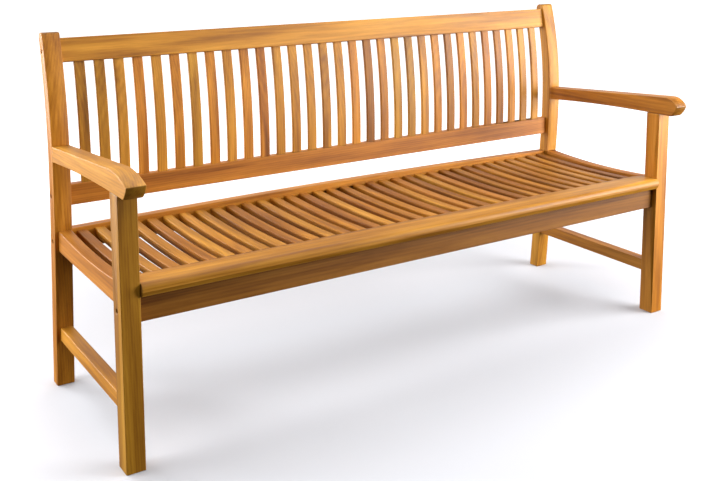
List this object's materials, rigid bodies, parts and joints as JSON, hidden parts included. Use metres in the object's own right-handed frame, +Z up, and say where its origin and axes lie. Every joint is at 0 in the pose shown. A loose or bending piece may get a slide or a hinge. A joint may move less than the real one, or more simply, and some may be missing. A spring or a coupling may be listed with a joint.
{
  "type": "garden bench",
  "caption": "Slatted hardwood garden bench with curved upright back slats, a dished slatted seat, arched armrests and a rounded front nosing.",
  "frame": {"origin": "on the ground, midway along the bench and midway between its front and back extremes", "axes": "+X along the bench, to the right of someone facing its front; the seat faces -Y; +Z up"},
  "size_m": [1.8, 0.6405, 0.965],
  "materials": {
    "frame_wood": "satin, lightly oiled",
    "back_slat_wood": "satin, lightly oiled",
    "seat_slat_wood": "satin, lightly oiled",
    "dowel_wood": "matt",
    "steel": "brushed"
  },
  "bodies": {
    "root": {"left_back_post": "frame_wood", "right_back_post": "frame_wood", "left_front_leg": "frame_wood", "right_front_leg": "frame_wood", "left_armrest": "frame_wood", "right_armrest": "frame_wood", "left_side_rail": "frame_wood", "right_side_rail": "frame_wood", "left_stretcher": "frame_wood", "right_stretcher": "frame_wood", "back_top_rail": "frame_wood", "back_lower_rail": "frame_wood", "back_seat_rail": "frame_wood", "front_apron": "frame_wood", "seat_nosing": "frame_wood", "centre_bearer": "frame_wood", "back_slat_01": "back_slat_wood", "back_slat_02": "back_slat_wood", "back_slat_03": "back_slat_wood", "back_slat_04": "back_slat_wood", "back_slat_05": "back_slat_wood", "back_slat_06": "back_slat_wood", "back_slat_07": "back_slat_wood", "back_slat_08": "back_slat_wood", "back_slat_09": "back_slat_wood", "back_slat_10": "back_slat_wood", "back_slat_11": "back_slat_wood", "back_slat_12": "back_slat_wood", "back_slat_13": "back_slat_wood", "back_slat_14": "back_slat_wood", "back_slat_15": "back_slat_wood", "back_slat_16": "back_slat_wood", "back_slat_17": "back_slat_wood", "back_slat_18": "back_slat_wood", "back_slat_19": "back_slat_wood", "back_slat_20": "back_slat_wood", "back_slat_21": "back_slat_wood", "back_slat_22": "back_slat_wood", "back_slat_23": "back_slat_wood", "back_slat_24": "back_slat_wood", "back_slat_25": "back_slat_wood", "back_slat_26": "back_slat_wood", "back_slat_27": "back_slat_wood", "back_slat_28": "back_slat_wood", "back_slat_29": "back_slat_wood", "back_slat_30": "back_slat_wood", "back_slat_31": "back_slat_wood", "seat_slats_01": "seat_slat_wood", "seat_slats_02": "seat_slat_wood", "seat_slats_03": "seat_slat_wood", "seat_slats_04": "seat_slat_wood", "seat_slats_05": "seat_slat_wood", "seat_slats_06": "seat_slat_wood", "seat_slats_07": "seat_slat_wood", "frame_bolts": "steel", "barrel_nuts": "steel", "locating_dowels": "dowel_wood"}
  },
  "joints": []
}
